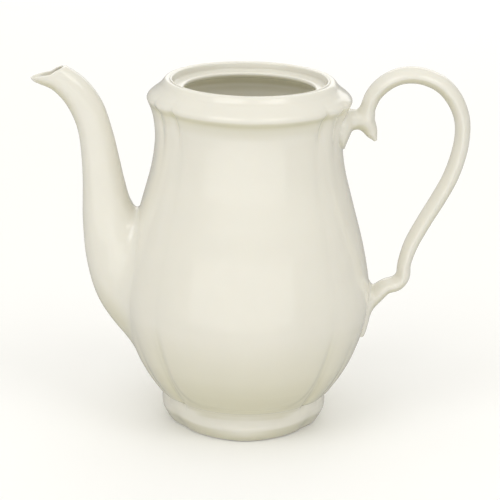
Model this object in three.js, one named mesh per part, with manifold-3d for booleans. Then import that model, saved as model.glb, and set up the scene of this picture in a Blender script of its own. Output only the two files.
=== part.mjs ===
// Fluted porcelain coffee pot without its lid, in millimetres, +Z up.
// The origin is on the table plane, on the axis of the bowl. The spout points along -X and the handle
// along +X. Five ceramic pieces: body, gallery ring, foot ring, spout and handle.

import * as THREE from 'three';
import { mergeVertices } from 'three/addons/utils/BufferGeometryUtils.js';
import Module from 'manifold-3d';

const wasm = await Module();
wasm.setup();

// ---- driving dimensions -------------------------------------------------------------------------

const JOINT_GAP = 0.3; // clearance between two luted pieces
const WALL = 3.6; // thickness of the bowl and neck
const SPOUT_WALL = 2.4;

const FOOT_JOINT = 15.5; // height of the joint between foot ring and bowl
const NECK_TOP = 158; // the wall keeps its thickness up to here
const FLOOR = 21; // inside floor of the bowl

const FOOT_BORE = 31; // radius of the hollow under the bowl
const BEARING_INNER = 33;

const LEDGE_HEIGHT = 174.7; // the lid seat
const LEDGE_OUTER = 38.7;
const MOUTH_RADIUS = 33;
const SOCKET_RADIUS = 40.2; // the gallery ring sits in this socket inside the rim
const SOCKET_SHELF = 171.4;
const SHELF_INNER = 37.5;

const SPOUT_HOLE_RADIUS = 9; // round hole through the bowl into the spout
const SPOUT_HOLE_HEIGHT = 76;

// Outline of the pot's wall, radius against height: bowl and neck, then the shoulder and the rim roll.
const BODY_OUTLINE = [
  [42.2, 15.5], [46.1, 20], [51, 27], [55.7, 36], [60.1, 48], [62.7, 59], [63.4, 69],
  [62, 81], [58.9, 96], [53.8, 115], [49.1, 133], [47.4, 147], [48.2, 157], [50, 163],
  [51.4, 166.6], [51.7, 168.9], [50.4, 171], [47.6, 173], [45.1, 175.4], [43.5, 177.7], [41.6, 178.9],
];

// Outline of the foot ring, from the bearing face up to the joint under the bowl.
const FOOT_OUTLINE = [
  [37.4, 0], [38.6, 1], [39.8, 3.4], [41.5, 6.6], [42, 9.6], [41.9, 12], [42, 14.2], [42.2, 15.2],
];

// ---- fluting ------------------------------------------------------------------------------------

// Bearings are in degrees from the broad front or back lobe: 0 is the middle of that lobe and 90 the
// middle of a narrow side lobe. A deep groove ends the broad lobe, a shallow one starts the side lobe,
// and a narrow rib stands between the two.
const DEEP_GROOVE = 47.5;
const SHALLOW_GROOVE = 65.5;
const GROOVE_WIDTH = 5;
const DEEP = 0.034; // depths as a share of the radius
const SHALLOW = 0.014;
const BROAD_BULGE = 0.022;

// Strength of the fluting at heights up the pot. It dies out in the foot and at the round rim.
const FLUTING = [
  [8, 0], [14, 0.5], [17, 1.1], [30, 0.9], [60, 0.35],
  [110, 0.3], [145, 0.6], [160, 1], [169, 1.1], [177, 0],
];

// The foot is a soft lozenge in plan: bearing against radius, as a share of the side lobe's, and the
// strength of that plan at heights up the foot.
const FOOT_PLAN = [
  [0, 1.055], [12, 1.032], [24, 1], [38, 0.975], [50, 0.948], [57, 0.93], [65, 0.952], [75, 0.98], [90, 1],
];
const FOOT_LOBES = [[0, 1], [3, 1], [7, 0.6], [12, 0.25], [15.5, 0]];

// Bearings of the wall's facets in a quarter of the pot. Each groove falls on a facet edge.
const FACET_BEARINGS = [0, 10, 20, 30, 39, 43.5, 47.5, 51.5, 56.5, 61.5, 65.5, 69.5, 76, 83, 90];
const QUARTER_FACETS = FACET_BEARINGS.length - 1;

function interpolate(table, at) {
  if (at <= table[0][0]) return table[0][1];
  for (let i = 1; i < table.length; i++) {
    const [x0, y0] = table[i - 1];
    const [x1, y1] = table[i];
    if (at <= x1) return y0 + ((y1 - y0) * (at - x0)) / (x1 - x0);
  }
  return table[table.length - 1][1];
}

function fluting(bearing, height) {
  const bulge = bearing < DEEP_GROOVE ? Math.cos((bearing / DEEP_GROOVE) * (Math.PI / 2)) ** 2 : 0;
  const deep = Math.exp(-Math.abs(bearing - DEEP_GROOVE) / GROOVE_WIDTH);
  const shallow = Math.exp(-Math.abs(bearing - SHALLOW_GROOVE) / GROOVE_WIDTH);
  const lozenge = interpolate(FOOT_LOBES, height) * (interpolate(FOOT_PLAN, bearing) - 1);
  const flutes = BROAD_BULGE * bulge - DEEP * deep - SHALLOW * shallow;
  return 1 + lozenge + interpolate(FLUTING, height) * flutes;
}

// Moves the evenly spaced steps of a turned shape onto the facet bearings and presses the flutes in.
// Points inside plainRadius stay round.
function flute(geometry, plainRadius = 0) {
  const position = geometry.attributes.position;
  const bearings = FACET_BEARINGS.map((bearing, i) => [i / QUARTER_FACETS, bearing]);
  for (let i = 0; i < position.count; i++) {
    const [x, y, z] = [position.getX(i), position.getY(i), position.getZ(i)];
    const radius = Math.hypot(x, y);
    const bearing = interpolate(bearings, Math.atan2(Math.abs(x), Math.abs(y)) / (Math.PI / 2));
    const fluted = radius > plainRadius ? radius * fluting(bearing, z) : radius;
    const angle = THREE.MathUtils.degToRad(bearing);
    position.setXYZ(i, Math.sign(x) * fluted * Math.sin(angle), Math.sign(y) * fluted * Math.cos(angle), z);
  }
}

// ---- solids -------------------------------------------------------------------------------------

function solid(geometry) {
  geometry.deleteAttribute('normal');
  geometry.deleteAttribute('uv');
  const merged = mergeVertices(geometry, 1e-3);
  const corners = [];
  for (let i = 0; i < merged.index.count; i += 3) {
    const [a, b, c] = merged.index.array.slice(i, i + 3);
    if (a !== b && b !== c && c !== a) corners.push(a, b, c);
  }
  return new wasm.Manifold(
    new wasm.Mesh({
      numProp: 3,
      vertProperties: new Float32Array(merged.attributes.position.array),
      triVerts: new Uint32Array(corners),
    }),
  );
}

function geometryOf(manifold) {
  const mesh = manifold.getMesh();
  const geometry = new THREE.BufferGeometry();
  geometry.setAttribute('position', new THREE.BufferAttribute(mesh.vertProperties, 3));
  geometry.setIndex(new THREE.BufferAttribute(mesh.triVerts, 1));
  geometry.computeVertexNormals();
  return geometry;
}

// A smooth curve through the points, sampled evenly from point to point.
function smooth(points, count) {
  const curve = new THREE.SplineCurve(points.map(([x, y]) => new THREE.Vector2(x, y)));
  return curve.getPoints(count);
}

// Turns an outline of [radius, height] points about the axis of the pot and presses the flutes in.
function turned(outline, plainRadius) {
  const points = outline.map(({ x, y }) => new THREE.Vector2(x, y));
  const geometry = new THREE.LatheGeometry(points, 4 * QUARTER_FACETS);
  geometry.rotateX(Math.PI / 2);
  flute(geometry, plainRadius);
  return solid(geometry);
}

// Skins a row of rings, each a list of the same number of points, and closes both ends.
function loft(rings) {
  const sides = rings[0].length;
  const centre = (ring) => ring.reduce((sum, p) => sum.add(p), new THREE.Vector3()).divideScalar(sides);
  const points = [...rings.flat(), centre(rings[0]), centre(rings.at(-1))];
  const first = rings.length * sides;
  const index = [];
  for (let s = 0; s < sides; s++) {
    const next = (s + 1) % sides;
    for (let r = 0; r < rings.length - 1; r++) {
      const [a, b] = [r * sides + s, r * sides + next];
      index.push(a, b, b + sides, a, b + sides, a + sides);
    }
    index.push(first, next, s);
    index.push(first + 1, first - sides + s, first - sides + next);
  }
  const geometry = new THREE.BufferGeometry().setFromPoints(points);
  geometry.setIndex(index);
  return solid(geometry);
}

// An oval ring about a point of the pot's middle plane. Axis is the oval's half axis in that plane and
// halfWidth its half axis along Y.
function oval(middle, axis, halfWidth, sides) {
  const ring = [];
  for (let s = 0; s < sides; s++) {
    const angle = (2 * Math.PI * s) / sides;
    const inPlane = Math.cos(angle);
    const across = Math.sin(angle) * halfWidth;
    ring.push(new THREE.Vector3(middle.x + axis.x * inPlane, across, middle.y + axis.y * inPlane));
  }
  return ring;
}

// ---- body, gallery ring and foot ring -----------------------------------------------------------

const point = (r, z) => new THREE.Vector2(r, z);

function body() {
  const outside = smooth(BODY_OUTLINE, 34);
  const neck = smooth(BODY_OUTLINE, 24)
    .filter(({ y }) => y > FLOOR + 4 && y < NECK_TOP)
    .map(({ x, y }) => point(x - WALL, y))
    .reverse();
  const socket = [
    point(SOCKET_RADIUS, outside.at(-1).y - 0.6),
    point(SOCKET_RADIUS, SOCKET_SHELF),
    point(SHELF_INNER, SOCKET_SHELF),
    point(SHELF_INNER, SOCKET_SHELF - 1.6),
    point(43, 166.5),
    point(45.5, 162),
  ];
  const floor = [point(neck.at(-1).x - 4, FLOOR), point(0, FLOOR)];
  return turned([point(0, FOOT_JOINT), ...outside, ...socket, ...neck, ...floor], SOCKET_RADIUS + 0.5);
}

function galleryRing() {
  const outer = SOCKET_RADIUS - JOINT_GAP;
  const base = SOCKET_SHELF + JOINT_GAP;
  const section = [
    point(outer, base),
    point(outer, 177.7),
    point(outer - 0.5, 178.3),
    point(LEDGE_OUTER + 0.2, 177.6),
    point(LEDGE_OUTER, LEDGE_HEIGHT),
    point(MOUTH_RADIUS, LEDGE_HEIGHT),
    point(MOUTH_RADIUS, LEDGE_HEIGHT - 2),
    point(MOUTH_RADIUS + 2.5, base),
  ];
  return turned([...section, section[0]], outer + 1);
}

function footRing() {
  const outside = smooth(FOOT_OUTLINE, 9);
  const top = FOOT_JOINT - JOINT_GAP;
  const inside = [
    point(FOOT_BORE + 1.5, top),
    point(FOOT_BORE, top - 2),
    point(FOOT_BORE, 3),
    point(BEARING_INNER, 0),
  ];
  return turned([...outside, ...inside, outside[0]], BEARING_INNER);
}

// The outside of the body grown by the joint gap: what the spout and handle are cut to.
function envelope() {
  const outside = smooth(BODY_OUTLINE.slice(0, -2), 44).map(({ x, y }) => point(x + JOINT_GAP, y));
  return turned([point(0, outside[0].y), ...outside, point(0, outside.at(-1).y)], 0);
}

// ---- spout --------------------------------------------------------------------------------------

// Stations along the spout from its root to its beak: the point on the outer curve, the point on the
// curve that faces the neck, and the half width across.
const SPOUT_STATIONS = [
  { outer: [-51.5, 35], inner: [-44, 108], half: 20 },
  { outer: [-62.6, 45.4], inner: [-54.5, 109.5], half: 20.5 },
  { outer: [-74.7, 62], inner: [-59.4, 114], half: 17.5 },
  { outer: [-81.2, 81], inner: [-62.6, 125], half: 13.5 },
  { outer: [-83.6, 103], inner: [-65.5, 137], half: 11 },
  { outer: [-84, 128], inner: [-68.8, 150.5], half: 9.2 },
  { outer: [-86, 149], inner: [-73.8, 164.9], half: 8.2 },
  { outer: [-91.4, 162.2], inner: [-81.6, 176], half: 7.6 },
  { outer: [-98.4, 170.2], inner: [-92.1, 183.4], half: 7 },
  { outer: [-104.5, 173.4], inner: [-102.5, 186], half: 6 },
  { outer: [-108.3, 175.1], inner: [-109, 186], half: 4.8 },
  { outer: [-110.1, 177.8], inner: [-111.5, 186], half: 4 },
];

// Side view of the pouring lip, from in front of the beak back to the peak and up past it.
const LIP = [[-116, 175.5], [-110, 177], [-104, 178.4], [-99.6, 179.3], [-96.6, 181.4], [-92.3, 183.2]];

function spoutBody(inset, sides, count) {
  const outer = smooth(SPOUT_STATIONS.map(({ outer: at }) => at), count);
  const inner = smooth(SPOUT_STATIONS.map(({ inner: at }) => at), count);
  const half = smooth(SPOUT_STATIONS.map(({ half: width }, i) => [i, width]), count);
  const rings = outer.map((from, i) => {
    const middle = from.clone().add(inner[i]).divideScalar(2);
    const axis = inner[i].clone().sub(from).divideScalar(2);
    axis.setLength(axis.length() - inset);
    return oval(middle, axis, half[i].y - inset, sides);
  });
  return loft(rings);
}

function lipCut() {
  const shape = new THREE.Shape(LIP.map(([x, z]) => point(x, z)));
  shape.lineTo(-85, 195);
  shape.lineTo(-85, 215);
  shape.lineTo(-125, 215);
  const depth = 60;
  const geometry = new THREE.ExtrudeGeometry(shape, { depth, bevelEnabled: false });
  geometry.rotateX(Math.PI / 2);
  geometry.translate(0, depth / 2, 0);
  return solid(geometry);
}

// The hole through the bowl into the spout.
function spoutHole() {
  const geometry = new THREE.CylinderGeometry(SPOUT_HOLE_RADIUS, SPOUT_HOLE_RADIUS, 30, 24);
  geometry.rotateZ(Math.PI / 2);
  geometry.translate(-62, 0, SPOUT_HOLE_HEIGHT);
  return solid(geometry);
}

function spout() {
  const shell = spoutBody(0, 20, 34).subtract(spoutBody(SPOUT_WALL, 16, 26));
  return shell.subtract(lipCut()).subtract(envelope());
}

// ---- handle -------------------------------------------------------------------------------------

// Middle line of the handle from the tip of its scroll, over the top of the ear, round the knee and into
// the bowl: x, z, half thickness in the plane of the ear, half width across it.
const HANDLE_LINE = [
  [63.9, 148, 0.9, 1.5], [61.9, 152, 3, 4.2], [59.6, 157.5, 4, 5.8], [59.5, 165, 3.9, 6.3],
  [62.3, 171.8, 4.1, 6.6], [67.4, 177.4, 4.3, 6.8], [73.9, 181.1, 4.3, 7],
  [81, 182.3, 4.3, 7], [89, 181.1, 4.3, 7],
  [97.2, 176.9, 4.3, 7], [103.3, 169.7, 4.2, 7], [106.9, 161, 4, 7], [107.6, 152, 3.9, 6.9],
  [106.2, 142, 4, 6.8], [102.5, 130, 4, 6.7], [96.9, 118.7, 4, 6.6], [90.2, 106.8, 3.9, 6.5],
  [84.1, 94.8, 3.8, 6.5], [80.9, 84.6, 3.6, 6.5], [80.2, 77.4, 3.8, 6.6], [77, 73.4, 4, 6.8],
  [71.5, 71.2, 4, 7.4], [66, 66.8, 4.7, 8.4], [60, 61.5, 5.5, 9.4],
];

// Pad under the lower end of the handle, down the side of the bowl: x, z, half thickness, half width.
const LOWER_PAD = [
  [59.6, 76, 2, 5], [61.2, 70, 3.4, 8], [61, 62, 3.4, 9],
  [60.4, 54, 3.4, 8], [59.6, 48, 3.3, 7.2], [59.4, 45, 3, 6.4],
];

// Short bridge between the neck pad and the handle: x, z, half height, half width.
const BRIDGE = [[46, 158, 7, 9], [52, 158.4, 5.6, 7], [55.5, 158.9, 4.8, 6], [60, 159.4, 4.6, 5.6]];

const NECK_PAD = { x: 47.6, z: 155, depth: 5.2, half: 13.5, height: 9.6 };

function bar(line, sides, count) {
  const middle = smooth(line.map(([x, z]) => [x, z]), count);
  const size = smooth(line.map(([, , thick, wide]) => [thick, wide]), count);
  const rings = middle.map((at, i) => {
    const before = middle[Math.max(i - 1, 0)];
    const after = middle[Math.min(i + 1, count)];
    const along = after.clone().sub(before).normalize();
    const across = point(along.y, -along.x).multiplyScalar(size[i].x);
    return oval(at, across, size[i].y, sides);
  });
  return loft(rings);
}

function handle() {
  const pad = new THREE.SphereGeometry(1, 16, 10);
  pad.scale(NECK_PAD.depth, NECK_PAD.half, NECK_PAD.height);
  pad.translate(NECK_PAD.x, 0, NECK_PAD.z);
  const ear = bar(HANDLE_LINE, 12, 72);
  const joined = ear.add(bar(LOWER_PAD, 12, 10)).add(bar(BRIDGE, 12, 6)).add(solid(pad));
  return joined.subtract(envelope());
}

// ---- the pot ------------------------------------------------------------------------------------

const IVORY_GLAZE = new THREE.MeshStandardMaterial({ color: 0xe9e5d6, roughness: 0.12, metalness: 0 });

const group = new THREE.Group();

function piece(name, manifold) {
  const mesh = new THREE.Mesh(geometryOf(manifold), IVORY_GLAZE);
  mesh.name = name;
  group.add(mesh);
}

piece('body', body().subtract(spoutHole()));
piece('gallery_ring', galleryRing());
piece('foot_ring', footRing());
piece('spout', spout());
piece('handle', handle());

export default group;
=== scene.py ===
import math

import bpy
import numpy as np
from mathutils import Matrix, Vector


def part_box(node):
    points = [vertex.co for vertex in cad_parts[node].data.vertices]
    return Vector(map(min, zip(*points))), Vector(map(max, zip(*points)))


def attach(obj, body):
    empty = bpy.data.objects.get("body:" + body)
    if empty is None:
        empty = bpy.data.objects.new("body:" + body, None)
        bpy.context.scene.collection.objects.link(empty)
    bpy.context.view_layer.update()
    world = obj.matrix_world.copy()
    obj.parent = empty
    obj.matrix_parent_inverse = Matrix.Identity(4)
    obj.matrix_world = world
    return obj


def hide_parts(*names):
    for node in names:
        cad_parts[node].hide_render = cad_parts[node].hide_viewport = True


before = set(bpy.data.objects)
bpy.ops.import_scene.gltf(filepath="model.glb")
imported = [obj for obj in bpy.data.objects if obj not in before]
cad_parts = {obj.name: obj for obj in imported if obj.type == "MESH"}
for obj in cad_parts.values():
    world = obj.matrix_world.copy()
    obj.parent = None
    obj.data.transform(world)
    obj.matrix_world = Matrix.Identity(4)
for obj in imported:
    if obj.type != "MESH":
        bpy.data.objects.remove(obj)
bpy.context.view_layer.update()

import openvdb
from mathutils import Matrix, Vector

# Shapes are worked out in millimetres, in the frame's own axes, and turned into metres at the end.
MM = 0.001

# ---- sizes from the frame -----------------------------------------------------------------------

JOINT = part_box("foot_ring")[1].z / MM + 0.15  # the foot ring meets the bowl here
WALL = 3.6
SPOUT_WALL = 2.1
LIP_WALL = 1.2  # the spout thins to this at the lip
FLOOR = 21.0
MOUTH_RADIUS = 33.0
LEDGE_HEIGHT = 174.7
LEDGE_OUTER = 38.7
SOCKET_RADIUS = 40.2
SOCKET_SHELF = 171.4
HOLE_RADIUS = 9.0  # the way from the bowl into the spout
HOLE_HEIGHT = 76.0

# ---- the wall: foot, bowl, neck, shoulder and rim -------------------------------------------------

FOOT_OUTLINE = [
    (37.2, 0.0), (38.1, 0.4), (39.4, 2.2), (40.8, 4.8), (41.8, 7.4),
    (42.0, 10.4), (41.9, 12.8), (41.9, 14.2), (42.2, JOINT),
]
BODY_OUTLINE = [
    (42.2, JOINT), (43.4, 16.3), (44.6, 17.8), (46.5, 20.4), (51.0, 27), (55.7, 36), (60.1, 48),
    (62.7, 59), (63.4, 69), (62.0, 81), (58.9, 96), (53.75, 115), (49.1, 133), (47.35, 147),
    (48.05, 157), (49.5, 163), (51.0, 166.6), (51.7, 168.6), (51.2, 170.0), (49.6, 171.6),
    (47.2, 173.4), (45.1, 175.3), (43.8, 177.0), (42.8, 178.2), (41.8, 178.7), (40.4, 178.3),
]

# The foot is a soft lozenge in plan: bearing against its share of the side lobe's radius, and the
# strength of that plan at heights up the foot.
FOOT_PLAN = [
    (0, 1.055), (12, 1.032), (24, 1.0), (38, 0.975), (50, 0.948),
    (57, 0.930), (65, 0.952), (75, 0.980), (90, 1.0),
]
FOOT_LOBES = [(0, 1), (3, 1), (7, 0.6), (12, 0.25), (15.5, 0)]

# Bearings are in degrees from the broad front or back lobe, 0, to the middle of a narrow side lobe, 90.
DEEP_GROOVE = 47.5
SHALLOW_GROOVE = 65.5

# Height against depth, as a share of the radius, of the two grooves and the swell of the broad lobe.
DEEP = [
    (9, 0), (13, 0.010), (16, 0.040), (22, 0.036), (30, 0.028), (60, 0.010), (110, 0.008),
    (140, 0.012), (152, 0.022), (160, 0.046), (166, 0.046), (169, 0.026), (172, 0.006), (175, 0),
]
SHALLOW = [
    (9, 0), (13, 0.004), (16, 0.014), (30, 0.012), (60, 0.005), (110, 0.005),
    (140, 0.008), (152, 0.018), (160, 0.032), (166, 0.030), (169, 0.014), (172, 0.003), (175, 0),
]
SWELL = [
    (6, 0), (12, 0.008), (16, 0.020), (30, 0.018), (60, 0.008), (110, 0.007),
    (145, 0.012), (160, 0.020), (169, 0.024), (174, 0.010), (177, 0),
]
GROOVE_WIDTH = [(0, 4.0), (16, 3.4), (30, 3.6), (60, 6.0), (120, 6.0), (150, 3.6), (170, 3.6)]
GROOVE_ROUND = [(0, 1.4), (16, 0.5), (30, 0.9), (60, 3.0), (120, 3.0), (150, 1.4), (160, 0.7), (170, 1.0)]
# Near the shoulder both grooves swing a little towards the sides of the pot.
SWING = [(140, 0), (152, 0), (166, 2.6), (172, 2.6)]


def smoothstep(at, low, high):
    share = np.clip((at - low) / (high - low), 0, 1)
    return share * share * (3 - 2 * share)


def eased(table, blur=2.2):
    """A smooth function of height through a table of (height, value), rounded off over about blur mm."""
    grid = np.arange(-20, 220, 0.25)
    heights, values = zip(*table)
    reach = np.arange(-4 * blur, 4 * blur + 0.01, 0.25)
    weights = np.exp(-0.5 * (reach / blur) ** 2)
    raw = np.interp(np.arange(-20 + reach[0], 220 - reach[0] + 0.01, 0.25), heights, values)
    smooth = np.convolve(raw, weights / weights.sum(), "valid")[: len(grid)]
    return lambda at: np.interp(at, grid, smooth)


deep_at, shallow_at, swell_at = eased(DEEP, 1.4), eased(SHALLOW, 1.4), eased(SWELL)
width_at, round_at, swing_at = eased(GROOVE_WIDTH, 4), eased(GROOVE_ROUND, 4), eased(SWING, 3)
lobes_at = eased(FOOT_LOBES, 1)
BEFORE = [(-bearing, share) for bearing, share in FOOT_PLAN[:0:-1]]
AFTER = [(180 - bearing, share) for bearing, share in FOOT_PLAN[-2::-1]]
plan_at = eased(BEFORE + FOOT_PLAN + AFTER, 3)


def curve(points, count):
    """Even samples of the Catmull-Rom curve through the points, in any number of dimensions."""
    knots = np.array(points, float)
    knots = np.vstack([2 * knots[0] - knots[1], knots, 2 * knots[-1] - knots[-2]])
    at = np.linspace(0, len(points) - 1, count)
    first = np.minimum(at.astype(int), len(points) - 2)
    t = (at - first)[:, None]
    a, b, c, d = (knots[first + i] for i in range(4))
    return 0.5 * (2 * b + (c - a) * t + (2 * a - 5 * b + 4 * c - d) * t**2 + (3 * b - a - 3 * c + d) * t**3)


def respaced(line, count):
    """The polyline resampled at equal steps of its own length."""
    step = np.linalg.norm(np.diff(line, axis=0), axis=1)
    length = np.concatenate([[0], np.cumsum(step)])
    at = np.linspace(0, length[-1], count)
    return np.stack([np.interp(at, length, line[:, i]) for i in range(line.shape[1])], 1)


def groove(bearing, centre, width, rounding):
    away = np.sqrt((bearing - centre) ** 2 + rounding**2) - rounding
    return np.exp(-away / width)


def petal_depth(bearing, height):
    """How far in mm a point of the wall lies inside the broad petal, whose lower edge is a hyperbola."""
    across, up = 45.3 - bearing, height - JOINT
    return (across * up - 50) / np.hypot(across, up / 0.87)


def flutes(bearing, height):
    """Share of the plain radius at a bearing and height."""
    width, rounding, swing = width_at(height), round_at(height), swing_at(height)
    swell = np.where(bearing < DEEP_GROOVE, np.cos(np.radians(bearing / DEEP_GROOVE * 90)) ** 2, 0)
    deep = groove(bearing, DEEP_GROOVE + swing, width, rounding)
    shallow = groove(bearing, SHALLOW_GROOVE + swing, width * 1.2, rounding * 1.4)
    lozenge = lobes_at(height) * (plan_at(bearing) - 1)
    return 1 + lozenge + swell_at(height) * swell - deep_at(height) * deep - shallow_at(height) * shallow


def hump(at, middle, reach):
    return np.exp(-(((at - middle) / reach) ** 2))


def relief(bearing, height):
    """Relief in mm: the petal's raised edge, the strip beside it that runs down into the foot without a
    crease, the hollow of the foot under the petal, and the undercut below the shoulder, deepest in front."""
    inside = smoothstep(petal_depth(bearing, height), -1.3, 2.6)
    beside = 1 - smoothstep(bearing, 45.0, 47.5)
    fade = 1 - 0.85 * smoothstep(height, 34, 70)
    above = smoothstep(height, 9, JOINT)
    broad = 1 - smoothstep(bearing, 26, 46)
    strip = 1 - smoothstep(bearing, 44.0, 47.2)
    hollow = 1.3 * broad * hump(height, 10.6, 2.4)
    tucked = (1 - smoothstep(height, 164.9, 167.6)) * smoothstep(height, 144, 165)
    undercut = (0.55 + 0.65 * broad) * tucked * smoothstep(83 - bearing, 0, 12)
    overhang = 0.4 * (1 - strip) * hump(height, JOINT, 1.0)
    edge = -0.55 * (1 - inside) * beside * fade * above
    return edge + strip * rounding_at(height) - hollow - undercut - overhang


def bearing_of(x, y):
    return np.degrees(np.arctan2(np.abs(x), np.abs(y)))


def fluted(radius, bearing, height):
    return radius * flutes(bearing, height) + relief(bearing, height)


outline = curve(BODY_OUTLINE, 4000)
foot_outline = curve(FOOT_OUTLINE, 900)
low_wall = [(z, r) for r, z in np.vstack([foot_outline, outline[outline[:, 1] < 40]])]
rounded, sharp = eased(low_wall, 1.5), eased(low_wall, 0.01)


def rounding_at(height):
    """What rounds off the crease between foot and bowl, in mm of radius."""
    return np.where((height > 9) & (height < 26), rounded(height) - sharp(height), 0)


rising = outline[: np.argmax(outline[:, 1] > 168)]


def wall_radius(x, y, z):
    """Radius of the outside of the bowl and neck below the shoulder, at points of any height and bearing."""
    return fluted(np.interp(z, rising[:, 1], rising[:, 0]), bearing_of(x, y), z)


def turned(section, columns, plain):
    """Points of a turned section of (radius, height), one row each, fluted where plain is below 1."""
    angle = np.linspace(0, 2 * np.pi, columns, endpoint=False)
    x, y = np.sin(angle), np.cos(angle)
    bearing = bearing_of(x, y)[None, :]
    radius, height = section[:, 0][:, None], section[:, 1][:, None]
    share = np.asarray(plain, float)[:, None]
    r = radius * share + fluted(radius, bearing, height) * (1 - share)
    return np.stack([r * x, r * y, np.broadcast_to(height, r.shape)], 2)


# ---- meshes -------------------------------------------------------------------------------------


def skin(rows, closed_rows, poles=()):
    """Vertices and quads of rows of points round a closed ring. poles are the middle points of open ends."""
    count, sides = rows.shape[:2]
    points = rows.reshape(-1, 3)
    index = np.arange(count * sides).reshape(count, sides)
    if closed_rows:
        index = np.vstack([index, index[:1]])
    turned_index = np.roll(index, -1, axis=1)
    quads = np.stack([index[:-1], turned_index[:-1], turned_index[1:], index[1:]], 2).reshape(-1, 4)
    faces = quads.tolist()
    for end, pole in enumerate(poles):
        points = np.vstack([points, [pole]])
        middle = len(points) - 1
        ring, after = index[-end], turned_index[-end]
        fan = (ring, after) if end else (after, ring)
        faces += [[int(a), int(b), middle] for a, b in zip(*fan)]
    return points, faces


def piece(name, points, faces, node):
    mesh = bpy.data.meshes.new(name)
    mesh.from_pydata((np.asarray(points) * MM).tolist(), [], faces)
    mesh.update()
    obj = bpy.data.objects.new(name, mesh)
    bpy.context.scene.collection.objects.link(obj)
    mesh.shade_smooth()
    mesh.set_sharp_from_angle(angle=math.radians(55))
    face_outwards(mesh)
    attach(obj, "root")
    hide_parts(node)
    return obj


def face_outwards(mesh):
    co = np.zeros(len(mesh.vertices) * 3)
    mesh.vertices.foreach_get("co", co)
    co = co.reshape(-1, 3)
    mesh.calc_loop_triangles()
    tri = np.zeros(len(mesh.loop_triangles) * 3, int)
    mesh.loop_triangles.foreach_get("vertices", tri)
    a, b, c = co[tri.reshape(-1, 3)].transpose(1, 0, 2)
    if np.einsum("ij,ij->", a, np.cross(b, c)) < 0:
        mesh.flip_normals()


# ---- body, gallery ring and foot ring -----------------------------------------------------------

COLUMNS = 720


def section_of(*stretches):
    """Joins (points, plain share) stretches of a turned section."""
    rows = np.vstack([np.asarray(points, float) for points, _ in stretches])
    plain = np.concatenate([np.full(len(points), share, float) for points, share in stretches])
    return rows, plain


def build_body():
    outside = respaced(outline, 330)
    fade_to_round = smoothstep(outside[:, 1], 173, 176.5)
    inner = curve([(r - WALL, z) for r, z in BODY_OUTLINE if 26 < z < 160][::-1], 110)
    socket = curve([(SOCKET_RADIUS, 178.1), (SOCKET_RADIUS, 172.2), (SOCKET_RADIUS, SOCKET_SHELF)], 14)
    under_shelf = [(37.2, SOCKET_SHELF), (40, 170.3), (42.8, 167.6), (44.7, 164), (45.2, 160.8)]
    throat = curve([*under_shelf, inner[0]], 40)
    floor = curve([inner[-1], (45.5, 23.5), (41, 21.6), (34, FLOOR), (17, FLOOR - 0.2), (2, FLOOR - 0.2)], 40)
    under = curve([(2, 17.4), (18, 17.0), (28, 16.4), (34, JOINT), (41, JOINT)], 16)
    rows, plain = section_of((under, 1), (outside, 0), (socket, 1), (throat, 1), (inner, 0), (floor[1:], 1))
    start = len(under)
    plain[start : start + len(outside)] = fade_to_round
    throat_at = start + len(outside) + len(socket)
    plain[throat_at : throat_at + len(throat)] = np.linspace(1, 0, len(throat))
    floor_at = len(rows) - len(floor) + 1
    plain[floor_at:] = smoothstep(np.arange(len(floor) - 1), 0, 14)
    points, faces = skin(turned(rows, COLUMNS, plain), False, [(0, 0, 17.4), (0, 0, FLOOR - 0.2)])
    body = piece("porcelain_body", points, faces, "body")
    drill(body)
    return body


def drill(body):
    """Cuts the hole into the spout, with its inner edge rounded off."""
    inner_face = WALL - float(wall_radius(-1.0, 0.0, HOLE_HEIGHT))
    turn = np.linspace(0, np.pi / 2, 8)
    rounding = 1.3
    funnel = [(HOLE_RADIUS + rounding * (1 - math.sin(t)), -rounding * (1 - math.cos(t))) for t in turn]
    profile = [(HOLE_RADIUS + rounding, 14), *funnel, (HOLE_RADIUS, -12)]
    angle = np.linspace(0, 2 * np.pi, 72, endpoint=False)
    rows = np.array([
        np.stack([np.full(72, inner_face + along), r * np.cos(angle), HOLE_HEIGHT + r * np.sin(angle)], 1)
        for r, along in profile
    ])
    ends = [(inner_face + profile[i][1], 0, HOLE_HEIGHT) for i in (0, -1)]
    points, faces = skin(rows, False, ends)
    mesh = bpy.data.meshes.new("drill")
    mesh.from_pydata((points * MM).tolist(), [], faces)
    face_outwards(mesh)
    bit = bpy.data.objects.new("drill", mesh)
    bpy.context.scene.collection.objects.link(bit)
    cut_out = body.modifiers.new("hole", "BOOLEAN")
    cut_out.operation, cut_out.solver, cut_out.object = "DIFFERENCE", "MANIFOLD", bit
    with bpy.context.temp_override(object=body, active_object=body):
        bpy.ops.object.modifier_apply(modifier=cut_out.name)
    bpy.data.objects.remove(bit)
    bpy.data.meshes.remove(mesh)


def build_gallery_ring():
    outer = SOCKET_RADIUS - 0.05
    base = SOCKET_SHELF + 0.05
    corner = [
        (LEDGE_OUTER, 176.6), (LEDGE_OUTER - 0.1, 175.7),
        (LEDGE_OUTER - 0.6, 175.0), (37.2, LEDGE_HEIGHT),
    ]
    lip = [
        (34.4, LEDGE_HEIGHT), (33.5, 174.5), (MOUTH_RADIUS, 173.9),
        (33.2, 173.0), (34.2, 172.1), (35.8, base),
    ]
    top = [(outer, 178.2), (39.9, 178.55), (39.4, 178.5), (38.95, 178.0)]
    line = [(36, base), (outer, base)], top + corner, lip
    section = np.vstack([curve(points, count) for points, count in zip(line, (8, 60, 40))])
    rows = turned(section[:-1], 480, np.ones(len(section) - 1))
    points, faces = skin(rows, True)
    return piece("lid_gallery", points, faces, "gallery_ring")


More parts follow.
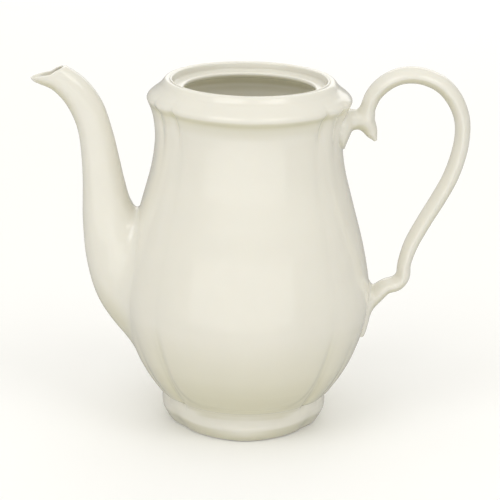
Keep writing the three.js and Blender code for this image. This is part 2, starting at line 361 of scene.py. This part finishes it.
def build_foot_ring():
    outside = respaced(foot_outline, 90)
    hollow = [(35, JOINT), (33.4, JOINT - 0.4), (31.6, 12), (31.3, 6), (31.9, 1.6), (32.8, 0.3), (33.8, 0)]
    inside = curve(hollow, 40)
    section, plain = section_of((outside, 0), (inside, 1))
    points, faces = skin(turned(section, COLUMNS, plain), True)
    return piece("foot_ring_glazed", points, faces, "foot_ring")


# ---- spout --------------------------------------------------------------------------------------

# Stations from the root to the beak: point on the outer curve, point on the curve that faces the neck,
# half width.
SPOUT_STATIONS = [
    (-49.5, 33, -42, 108.5, 20.5), (-62.8, 45.2, -54.5, 109.5, 20.5), (-74.9, 62, -59.3, 114.5, 17.5),
    (-81.1, 81, -62.4, 124.5, 13.5), (-83.5, 103, -65.2, 136.3, 11), (-83.8, 128, -68.8, 150.6, 9.2),
    (-85.9, 149, -73.8, 164.8, 8.2), (-91.2, 162.2, -81.7, 175.8, 7.6), (-98.3, 170.4, -92.1, 183.3, 6.6),
    (-104.5, 173.4, -102.5, 186.6, 5.5), (-108.3, 174.9, -108.8, 187.6, 4.0),
    (-110.1, 177.2, -111.5, 189, 2.6), (-110.6, 181, -112.5, 191, 1.8),
]
# Side view of the pouring lip, from in front of the beak back to the peak and up past it.
LIP = [
    (-118, 175.5), (-110, 177), (-104, 178.4), (-99.6, 179.3),
    (-96.6, 181.2), (-92.3, 182.9), (-86, 183.6),
]
SPOUT_SIDES = 160
FILLET_PULL = 0.62  # how far the fillet's control points stand off its ends, as a share of its length


def spout_point(station, angle, inset):
    """A line of the spout's skin. station is the smoothed table, angle 0 faces the neck."""
    ox, oz, ix, iz, half = station.T
    axis = np.stack([(ix - ox) / 2, (iz - oz) / 2], 1)
    length = np.linalg.norm(axis, axis=1)
    axis *= ((length - inset) / length)[:, None]
    ridge = 1 + 0.035 * hump(angle, 2.15, 0.3)
    along, across = np.cos(angle) * ridge, np.sin(angle) * ridge
    middle = np.stack([(ox + ix) / 2, (oz + iz) / 2], 1)
    x, z = (middle + axis * along).T
    return np.stack([x, (half - inset) * across, z], 1)


def crossing(values):
    """Place, in fractional rows, where a list of values first passes zero."""
    sign = np.sign(values)
    i = int(np.argmax(sign[1:] != sign[:-1]))
    return i + values[i] / (values[i] - values[i + 1])


def cut(line, start, end):
    """The stretch of a polyline between two fractional rows."""
    rows = np.arange(math.ceil(start), math.floor(end) + 1)
    at = np.concatenate([[start], rows[(rows > start) & (rows < end)], [end]])
    return np.stack([np.interp(at, np.arange(len(line)), line[:, i]) for i in range(3)], 1)


def outside_bowl(points):
    x, y, z = points.T
    return np.hypot(x, y) - wall_radius(x, y, z)


def onto_bowl(point, depth=0.0):
    x, y, z = point
    radius = float(wall_radius(x, y, z)) - depth
    scale = radius / math.hypot(x, y)
    return np.array([x * scale, y * scale, z])


def bowl_normal(point):
    step = 0.05
    slope = [
        (outside_bowl((point + d)[None])[0] - outside_bowl((point - d)[None])[0]) / (2 * step)
        for d in np.eye(3) * step
    ]
    return np.array(slope) / np.linalg.norm(slope)


def unit(v):
    return v / np.linalg.norm(v)


def spout_line(table, angle):
    """One line of the spout from its lip to its end on the bowl, with its flare, then the buried edge."""
    line = spout_point(table, angle, 0)[::-1]
    lip = crossing(line[:, 2] - np.interp(line[:, 0], *np.array(LIP).T))
    meets = crossing(outside_bowl(line))
    hit = cut(line, meets, meets)[0]
    side = math.sin(angle) ** 2
    facing = 0.5 + 0.5 * math.cos(angle)
    # The fillet's length along the spout and along the bowl: below, in the crotch, and at the sides.
    run = (8 - 5 * facing) * (1 - side) + 9 * side
    spread = (6 - 4 * facing) * (1 - side) + 5.5 * side
    outer = cut(line, lip, meets)
    length = np.concatenate([[0], np.cumsum(np.linalg.norm(np.diff(outer, axis=0), axis=1))])
    stop = float(np.interp(length[-1] - run, length, np.arange(len(length))))
    shaft = cut(outer, 0, stop)
    start = shaft[-1]
    away = unit(shaft[-1] - shaft[-2])
    normal = bowl_normal(hit)
    neighbour = spout_point(table[::-1], angle + 0.01, 0)
    round_way = cut(neighbour, meets, meets)[0] - hit
    outward = np.cross(round_way, away)
    middle = cut(spout_point(table[::-1], angle + math.pi, 0), meets, meets)[0]
    if outward @ (hit - middle) < 0:
        outward = -outward
    way = unit(outward - normal * (outward @ normal))
    foot = onto_bowl(hit + way * spread)
    foot_normal = bowl_normal(foot)
    way = unit(way - foot_normal * (way @ foot_normal))
    t = np.linspace(0, 1, 40)[1:, None]
    one, two = start + away * run * FILLET_PULL, foot - way * spread * FILLET_PULL
    fillet = (1 - t) ** 3 * start + 3 * (1 - t) ** 2 * t * one + 3 * (1 - t) * t**2 * two + t**3 * foot
    return respaced(shaft, 110), fillet, foot - foot_normal * 0.04 + way * 0.3


def build_spout():
    table = curve(SPOUT_STATIONS, 700)
    thinning = smoothstep(np.linspace(0, 1, len(table)), 0.45, 0.8)
    inset = SPOUT_WALL + (LIP_WALL - SPOUT_WALL) * thinning
    angles = np.linspace(0, 2 * np.pi, SPOUT_SIDES, endpoint=False)
    angles[angles > np.pi] -= 2 * np.pi
    lines = []
    for angle in angles:
        mirrored = abs(angle)
        shaft, fillet, edge = spout_line(table, mirrored)
        channel = spout_point(table, mirrored, inset)[::-1]
        lip = crossing(channel[:, 2] - np.interp(channel[:, 0], *np.array(LIP).T))
        meets = crossing(outside_bowl(channel) + 0.9)
        channel = respaced(cut(channel, lip, meets), 90)
        gap = channel[0] - shaft[0]
        reach = np.linalg.norm(gap) / 2
        ahead = unit(unit(shaft[0] - shaft[4]) + unit(channel[0] - channel[4])) * reach
        turn = np.linspace(0, np.pi, 9)[1:-1, None]
        lip_edge = shaft[0] + gap * (1 - np.cos(turn)) / 2 + ahead * np.sin(turn) * 0.8
        buried = np.array([edge, onto_bowl(edge, 0.9)])
        line = np.vstack([lip_edge[::-1], shaft, fillet, buried, channel[::-1]])
        if angle < 0:
            line = line * [1, -1, 1]
        lines.append(line)
    rows = np.array(lines).transpose(1, 0, 2)
    points, faces = skin(rows, True)
    return piece("spout_shell", points, faces, "spout")


# ---- handle -------------------------------------------------------------------------------------

# Middle line from the tip of the scroll, over the ear, round the knee and into the bowl: x, z, half
# thickness in the plane of the ear, half width across it.
HANDLE_LINE = [
    (63.9, 148.0, 0.9, 1.3), (63.4, 149.3, 1.5, 2.4), (61.9, 152, 3.1, 4.4), (60.4, 155.2, 3.9, 5.4),
    (59.2, 158.3, 4.1, 5.8), (59.2, 162, 4.1, 6.1), (59.6, 165, 3.9, 6.3), (62.3, 171.8, 4.1, 6.6),
    (67.4, 177.4, 4.3, 6.8), (73.9, 181.1, 4.3, 7), (81, 182.3, 4.3, 7), (89, 181.1, 4.3, 7),
    (97.2, 176.9, 4.3, 7), (103.3, 169.7, 4.2, 7), (106.9, 161, 4.0, 7), (107.6, 152, 3.9, 6.9),
    (106.2, 142, 4.0, 6.8), (102.5, 130, 4.0, 6.7), (96.9, 118.7, 4.0, 6.6), (90.2, 106.8, 3.9, 6.5),
    (84.1, 94.8, 3.8, 6.5), (80.9, 84.6, 3.5, 6.5), (80.2, 77.4, 3.7, 6.6), (77, 73.4, 4.0, 6.8),
    (71.5, 71.4, 4.0, 7.4), (66, 66.8, 4.7, 8.2), (60, 61.5, 5.5, 9),
]
LOWER_PAD = [
    (59.2, 76, 2, 4), (61.2, 72, 3, 6.4), (61.7, 66, 3.6, 8.4), (61.2, 60, 3.4, 8.8),
    (60.6, 54, 3.1, 7.6), (59.6, 48, 2.7, 6.2), (59.1, 45.3, 2.2, 4.8),
]
BRIDGE = [(46, 158.6, 5.0, 8), (52, 158.7, 5.2, 7), (55, 158.9, 4.5, 6), (60, 159.4, 4.0, 5.2)]
# The leaf on the neck: its middle height, half width and half height, the thickness of its edge and of
# its crown over that, and the radius that it lies on.
LEAF = dict(z=154.2, half=14.0, height=10.4, edge=0.8, crown=5.2, bed=47.6)
VOXEL = 0.45
BAND = 14.0  # voxels on each side of a surface whose distances are kept
BLEND = 3.8  # size of the soft fillets where the handle's limbs join


def bar(line, sides, count, power):
    """Closed loft of rounded lozenges along a line of (x, z, half thickness, half width)."""
    at = curve(line, count)
    along = np.gradient(at[:, :2], axis=0)
    along /= np.linalg.norm(along, axis=1)[:, None]
    across = np.stack([along[:, 1], -along[:, 0]], 1)
    angle = np.linspace(0, 2 * np.pi, sides, endpoint=False)
    c, s = np.cos(angle), np.sin(angle)
    size = (np.abs(c) ** power + np.abs(s) ** power) ** (-1 / power)
    c, s = c * size, s * size
    x = at[:, :1] + across[:, :1] * at[:, 2:3] * c
    z = at[:, 1:2] + across[:, 1:] * at[:, 2:3] * c
    rows = np.stack([x, at[:, 3:4] * s, z], 2)
    ends = [(at[i, 0], 0, at[i, 1]) for i in (0, -1)]
    return skin(rows, False, ends)


def leaf(x, y, z):
    """Distance to the leaf on the neck, thin at its lower end and at its edge."""
    out = np.sqrt((y / LEAF["half"]) ** 2 + ((z - LEAF["z"]) / LEAF["height"]) ** 2)
    crown = LEAF["crown"] * (0.15 + 0.85 * np.clip((z - 145) / 13.5, 0, 1))
    outer = LEAF["bed"] + LEAF["edge"] + crown * np.sqrt(np.clip(1 - out**2, 0, 1))
    above = np.hypot(x, y) - outer
    beyond = (out - 1) * LEAF["height"]
    return -soft_union(-above, -beyond, 0.7)


def distance_to(shape, low, size):
    """Distances of a box of voxels to a closed shape, negative inside it."""
    points, faces = shape
    quads = [f if len(f) == 4 else [f[0], f[1], f[2], f[2]] for f in faces]
    grid = openvdb.FloatGrid.createLevelSetFromPolygons(
        points=np.asarray(points, np.float32),
        quads=np.array(quads, np.uint32),
        transform=openvdb.createLinearTransform(VOXEL),
        halfWidth=BAND,
    )
    values = np.full(size, BAND * VOXEL, np.float32)
    grid.copyToArray(values, ijk=low)
    return values


def soft_union(a, b, k):
    h = np.clip(0.5 + 0.5 * (b - a) / k, 0, 1)
    return b * (1 - h) + a * h - k * h * (1 - h)


def build_handle():
    lowest = np.floor(np.array([38, -18, 38]) / VOXEL).astype(int)
    size = tuple(np.ceil(np.array([80, 36, 154]) / VOXEL).astype(int))
    low = tuple(int(i) for i in lowest)
    ear = distance_to(bar(HANDLE_LINE, 96, 460, 1.65), low, size)
    bridge = distance_to(bar(BRIDGE, 64, 40, 2), low, size)
    lower_pad = distance_to(bar(LOWER_PAD, 64, 80, 2.3), low, size)
    x, y, z = (
        np.arange(n)[tuple(slice(None) if a == i else None for a in range(3))] * VOXEL + lowest[i] * VOXEL
        for i, n in enumerate(size)
    )
    joined = soft_union(ear, bridge, BLEND)
    joined = soft_union(joined, leaf(x, y, z), 1.4)
    joined = soft_union(joined, lower_pad, 2.4)
    buried = wall_radius(x, y, z) - 1.2 - np.hypot(x, y)
    joined = np.maximum(joined, buried).astype(np.float32)
    grid = openvdb.FloatGrid(float(joined.max()))
    grid.copyFromArray(np.ascontiguousarray(joined), ijk=low)
    grid.transform = openvdb.createLinearTransform(VOXEL)
    points, quads = grid.convertToQuads(0.0)
    return piece("handle_ear", points, quads.tolist(), "handle")


# ---- material -----------------------------------------------------------------------------------


SMOOTHING_ROUNDS = 12
PAINTED_UNDERSIDE_SHADE = 0.32  # painted shade: how hollow a surface that faces straight down counts as, darkening its glaze


def store_pooling_and_painted_light(obj):
    """Saves the hollow attribute that darkens or lightens the glaze: above 0 in creases, where glaze pooling
    and painted shade darken it, and on undersides, as painted shade; below 0 on edges, where thinner glaze
    and a painted highlight lighten it.
    """
    mesh = obj.data
    count = len(mesh.vertices)
    co = np.zeros(count * 3)
    normal = np.zeros(count * 3)
    mesh.vertices.foreach_get("co", co)
    mesh.vertex_normals.foreach_get("vector", normal)
    co, normal = co.reshape(-1, 3) / MM, normal.reshape(-1, 3)
    edges = np.zeros(len(mesh.edges) * 2, int)
    mesh.edges.foreach_get("vertices", edges)
    a, b = edges.reshape(-1, 2).T
    apart = co[b] - co[a]
    length = np.tile(np.sqrt(np.maximum((apart**2).sum(1), 1e-4)), 2)
    bend = np.concatenate([(apart * normal[a]).sum(1), -(apart * normal[b]).sum(1)]) / length
    ends, others = np.concatenate([a, b]), np.concatenate([b, a])
    weight = np.bincount(ends, length, count)
    hollow = np.bincount(ends, bend, count) / np.maximum(weight, 1e-9)
    share = 1 + np.bincount(ends, minlength=count)
    for _ in range(SMOOTHING_ROUNDS):
        hollow = (hollow + np.bincount(ends, hollow[others], count)) / share
    attribute = mesh.attributes.new("hollow", "FLOAT", "POINT")
    # Painted shade: surfaces that face down count as hollow, so their glaze is darkened.
    painted_underside_shade = smoothstep(-normal[:, 2], 0.0, 0.7)
    attribute.data.foreach_set("value", np.clip(hollow + PAINTED_UNDERSIDE_SHADE * painted_underside_shade, -1, 1).astype(np.float32))


def node(tree, kind, **inputs):
    made = tree.nodes.new(kind)
    for name, value in inputs.items():
        made.inputs[name.replace("_", " ")].default_value = value
    return made


IVORY = (0.775, 0.755, 0.675, 1)
# Darker, yellower glaze: real pooling in creases, plus painted shade in creases and on undersides.
POOLED_GLAZE_AND_SHADE = (0.60, 0.575, 0.40, 1)
# Lighter glaze on convex edges, where it runs thin, also a painted highlight along those edges.
THIN_GLAZE_AND_HIGHLIGHT = (0.86, 0.85, 0.79, 1)
BISQUE = (0.88, 0.86, 0.80, 1)


def ivory_glaze(name, bare_foot=False):
    material = bpy.data.materials.new(name)
    material.use_nodes = True
    tree = material.node_tree
    shader = tree.nodes["Principled BSDF"]
    shader.inputs["IOR"].default_value = 1.52
    shader.inputs["Coat Weight"].default_value = 0.35
    shader.inputs["Coat Roughness"].default_value = 0.06
    shader.inputs["Subsurface Weight"].default_value = 0.12
    shader.inputs["Subsurface Radius"].default_value = (1.0, 0.85, 0.6)
    shader.inputs["Subsurface Scale"].default_value = 0.002
    link = tree.links.new
    place = node(tree, "ShaderNodeNewGeometry")

    hollow = node(tree, "ShaderNodeAttribute")
    hollow.attribute_name = "hollow"
    # How far the glaze goes to the pooled colour: glaze pooling in creases, plus painted shade in creases and
    # on undersides.
    pooling_and_painted_shade = node(tree, "ShaderNodeMapRange", From_Min=0.02, From_Max=0.35, To_Min=0.0, To_Max=0.8)
    link(hollow.outputs["Fac"], pooling_and_painted_shade.inputs["Value"])
    # How far convex edges go to the lighter colour: thinner glaze plus a painted highlight.
    thin_glaze_and_highlight = node(tree, "ShaderNodeMapRange", From_Min=-0.05, From_Max=-0.45, To_Min=0.0, To_Max=0.8)
    link(hollow.outputs["Fac"], thin_glaze_and_highlight.inputs["Value"])

    cloud = node(tree, "ShaderNodeTexNoise", Scale=28.0, Detail=3.0, Roughness=0.5)
    link(place.outputs["Position"], cloud.inputs["Vector"])
    tint = node(tree, "ShaderNodeValToRGB")
    tint.color_ramp.elements[0].position, tint.color_ramp.elements[1].position = 0.35, 0.65
    tint.color_ramp.elements[0].color = (*(c * 0.985 for c in IVORY[:3]), 1)
    tint.color_ramp.elements[1].color = (*(min(1, c * 1.012) for c in IVORY[:3]), 1)
    link(cloud.outputs["Fac"], tint.inputs["Fac"])

    def blend(fac, under, over):
        mix = tree.nodes.new("ShaderNodeMix")
        mix.data_type = "RGBA"
        link(fac, mix.inputs["Factor"])
        link(under, mix.inputs["A"])
        mix.inputs["B"].default_value = over
        return mix.outputs["Result"]

    # Painted shade in creases and on undersides, on top of glaze pooling in creases.
    colour = blend(pooling_and_painted_shade.outputs["Result"], tint.outputs["Color"], POOLED_GLAZE_AND_SHADE)
    # Painted highlight on convex edges, on top of the glaze thinning there.
    colour = blend(thin_glaze_and_highlight.outputs["Result"], colour, THIN_GLAZE_AND_HIGHLIGHT)

    peel = node(tree, "ShaderNodeTexNoise", Scale=420.0, Detail=2.0, Roughness=0.45)
    link(place.outputs["Position"], peel.inputs["Vector"])
    swell = node(tree, "ShaderNodeTexNoise", Scale=45.0, Detail=1.0, Roughness=0.4)
    link(place.outputs["Position"], swell.inputs["Vector"])
    fine = node(tree, "ShaderNodeBump", Strength=0.06, Distance=0.0004)
    link(peel.outputs["Fac"], fine.inputs["Height"])
    broad = node(tree, "ShaderNodeBump", Strength=0.10, Distance=0.0012)
    link(swell.outputs["Fac"], broad.inputs["Height"])
    link(fine.outputs["Normal"], broad.inputs["Normal"])
    link(broad.outputs["Normal"], shader.inputs["Normal"])

    gloss = node(tree, "ShaderNodeMapRange", From_Min=0.3, From_Max=0.7, To_Min=0.13, To_Max=0.20)
    link(peel.outputs["Fac"], gloss.inputs["Value"])
    roughness = gloss.outputs["Result"]
    if bare_foot:
        split = node(tree, "ShaderNodeSeparateXYZ")
        link(place.outputs["Position"], split.inputs["Vector"])
        bare = node(tree, "ShaderNodeMapRange", From_Min=0.0006, From_Max=0.0003, To_Min=0.0, To_Max=1.0)
        link(split.outputs["Z"], bare.inputs["Value"])
        colour = blend(bare.outputs["Result"], colour, BISQUE)
        dull = node(tree, "ShaderNodeMix")
        link(bare.outputs["Result"], dull.inputs["Factor"])
        link(roughness, dull.inputs["A"])
        dull.inputs["B"].default_value = 0.75
        roughness = dull.outputs["Result"]
    link(roughness, shader.inputs["Roughness"])
    link(colour, shader.inputs["Base Color"])
    return material


# ---- studio -------------------------------------------------------------------------------------


def build_stage():
    bpy.ops.mesh.primitive_circle_add(vertices=96, radius=7, fill_type="NGON", location=(0, 0, -0.0002))
    floor = bpy.context.object
    floor.name = "floor"
    white = bpy.data.materials.new("white_paper")
    white.use_nodes = True
    white.node_tree.nodes["Principled BSDF"].inputs["Base Color"].default_value = (0.97, 0.97, 0.965, 1)
    white.node_tree.nodes["Principled BSDF"].inputs["Roughness"].default_value = 0.9
    white.node_tree.nodes["Principled BSDF"].inputs["Specular IOR Level"].default_value = 0.1
    floor.data.materials.append(white)
    floor.visible_glossy = False


def hang(name, light, place):
    obj = bpy.data.objects.new(name, light)
    bpy.context.scene.collection.objects.link(obj)
    obj.location = place
    obj.visible_camera = False
    return obj


def softbox(name, place, target, size, watts):
    light = bpy.data.lights.new(name, "AREA")
    light.shape = "RECTANGLE"
    light.size, light.size_y = size
    light.energy = watts
    way = Vector(target) - Vector(place)
    hang(name, light, place).rotation_euler = way.to_track_quat("-Z", "Y").to_euler()


DOME_COLOUR = (1.0, 0.985, 0.94, 1)
HORIZON, ZENITH = 0.42, 1.0  # strength of the dome at and below the horizon, and overhead


def build_dome():
    world = bpy.data.worlds.new("studio")
    bpy.context.scene.world = world
    world.use_nodes = True
    tree = world.node_tree
    background = tree.nodes["Background"]
    background.inputs["Color"].default_value = DOME_COLOUR
    direction = tree.nodes.new("ShaderNodeTexCoord")
    split = tree.nodes.new("ShaderNodeSeparateXYZ")
    dome = node(tree, "ShaderNodeMapRange", From_Min=0.0, From_Max=1.0, To_Min=HORIZON, To_Max=ZENITH)
    tree.links.new(direction.outputs["Generated"], split.inputs["Vector"])
    tree.links.new(split.outputs["Z"], dome.inputs["Value"])
    tree.links.new(dome.outputs["Result"], background.inputs["Strength"])


def build_glow():
    """A lamp inside the pot. It isn't studio light: it only lifts the inside of the mouth, which the
    softboxes leave darker than it should be."""
    lamp = bpy.data.lights.new("glow", "POINT")
    lamp.energy = 0.02
    lamp.shadow_soft_size = 0.015
    hang("glow", lamp, (0.0, -0.008, 0.118)).visible_glossy = False


def build_lights():
    """A soft dome, a large key light up to the left, its fill, a low, wide front light and a weak one
    behind, with their places in metres and their strengths in watts."""
    build_dome()
    middle = (0, 0, 0.09)
    softbox("key", (-0.8, -1.15, 1.75), middle, (1.2, 1.2), 8.0)
    softbox("fill", (0.95, -1.05, 1.75), middle, (1.0, 1.0), 5.5)
    softbox("back", (0.2, 1.7, 0.9), middle, (1.6, 1.2), 5.0)
    softbox("front", (-0.1, -1.75, -0.05), (0, 0, -0.05), (4.2, 1.2), 12.0)
    build_glow()


# The camera looks along +Y from in front of the pot: millimetres of lens, degrees and metres.
SENSOR = 36.0
LENS = 190.78
YAW, PITCH, ROLL = 0.08, 16.07, 1.219
CAMERA_PLACE = (0, -1.3, 0.4638)


def build_camera():
    yaw, pitch, roll = (math.radians(angle) for angle in (YAW, PITCH, ROLL))
    camera = bpy.data.objects.new("camera", bpy.data.cameras.new("camera"))
    bpy.context.scene.collection.objects.link(camera)
    camera.data.sensor_width = SENSOR
    camera.data.lens = LENS
    camera.data.clip_start, camera.data.clip_end = 0.05, 30
    ahead = Vector((math.sin(yaw) * math.cos(pitch), math.cos(yaw) * math.cos(pitch), -math.sin(pitch)))
    right = Vector((math.cos(yaw), -math.sin(yaw), 0))
    up = right.cross(ahead)
    right_rolled = math.cos(roll) * right + math.sin(roll) * up
    up_rolled = math.cos(roll) * up - math.sin(roll) * right
    turn = Matrix((right_rolled, up_rolled, -ahead)).transposed().to_4x4()
    camera.matrix_world = Matrix.Translation(CAMERA_PLACE) @ turn
    bpy.context.scene.camera = camera


# ---- the pot ------------------------------------------------------------------------------------

build_camera()
glaze = ivory_glaze("ivory_glaze_porcelain")
foot_glaze = ivory_glaze("ivory_glaze_bare_foot", bare_foot=True)
for build in (build_body, build_gallery_ring, build_foot_ring, build_spout, build_handle):
    made = build()
    store_pooling_and_painted_light(made)
    made.data.materials.clear()
    made.data.materials.append(foot_glaze if build is build_foot_ring else glaze)
build_stage()
build_lights()
bpy.context.scene.view_settings.view_transform = "Standard"
